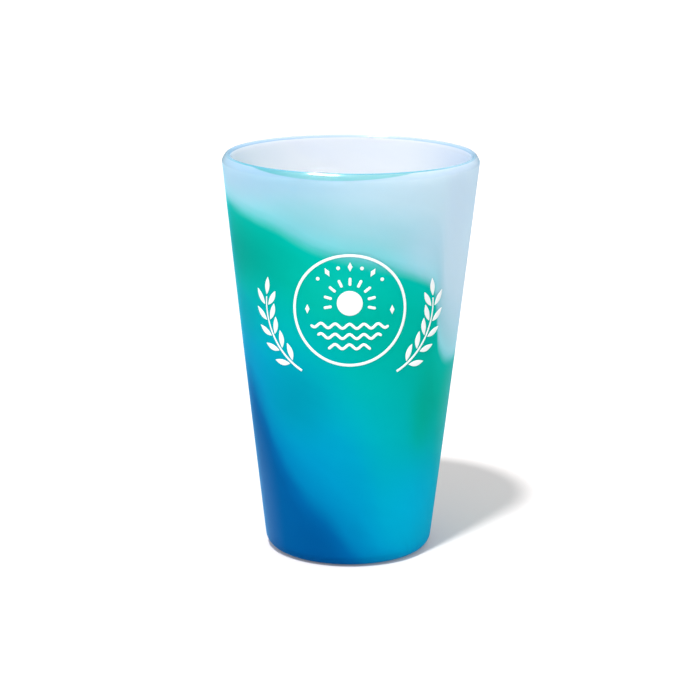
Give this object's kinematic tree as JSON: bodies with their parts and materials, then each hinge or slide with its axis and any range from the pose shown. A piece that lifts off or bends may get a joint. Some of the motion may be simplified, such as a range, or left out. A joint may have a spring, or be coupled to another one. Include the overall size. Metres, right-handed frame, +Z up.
{
  "type": "pint glass",
  "caption": "Tapered flexible silicone pint glass with a rounded lip and a flat foot, marbled in blues and greens, with a white printed sun badge and leaf sprays.",
  "frame": {"origin": "centre of the foot, on the plane that the glass stands on", "axes": "+Z up along the axis of the cup towards the mouth, the printed side faces -Y, +X to the right of someone looking at the print"},
  "size_m": [0.0884, 0.0884, 0.14],
  "materials": {
    "silicone": "satin translucent silicone, marbled from frosted clear at the top through teal and cyan to navy at the foot, glossier at the lip",
    "ink": "matte white silicone ink"
  },
  "bodies": {
    "root": {"cup": "silicone", "print_ring": "ink", "print_sun": "ink", "print_sun_ray_1": "ink", "print_sun_ray_2": "ink", "print_sun_ray_3": "ink", "print_sun_ray_4": "ink", "print_sun_ray_5": "ink", "print_sun_ray_6": "ink", "print_sun_ray_7": "ink", "print_sun_ray_8": "ink", "print_sun_ray_9": "ink", "print_wave_1": "ink", "print_wave_2": "ink", "print_wave_3": "ink", "print_dot_1": "ink", "print_dot_2": "ink", "print_dot_3": "ink", "print_dot_4": "ink", "print_arch_diamond_1": "ink", "print_arch_diamond_2": "ink", "print_arch_diamond_3": "ink", "print_side_diamond_left": "ink", "print_side_diamond_right": "ink", "spray_left_stem": "ink", "spray_left_outer_leaf_1": "ink", "spray_left_inner_leaf_1": "ink", "spray_left_outer_leaf_2": "ink", "spray_left_inner_leaf_2": "ink", "spray_left_outer_leaf_3": "ink", "spray_left_inner_leaf_3": "ink", "spray_left_outer_leaf_4": "ink", "spray_left_inner_leaf_4": "ink", "spray_left_outer_leaf_5": "ink", "spray_left_inner_leaf_5": "ink", "spray_left_tip_leaf": "ink", "spray_right_stem": "ink", "spray_right_outer_leaf_1": "ink", "spray_right_inner_leaf_1": "ink", "spray_right_outer_leaf_2": "ink", "spray_right_inner_leaf_2": "ink", "spray_right_outer_leaf_3": "ink", "spray_right_inner_leaf_3": "ink", "spray_right_outer_leaf_4": "ink", "spray_right_inner_leaf_4": "ink", "spray_right_outer_leaf_5": "ink", "spray_right_inner_leaf_5": "ink", "spray_right_tip_leaf": "ink"}
  },
  "joints": []
}
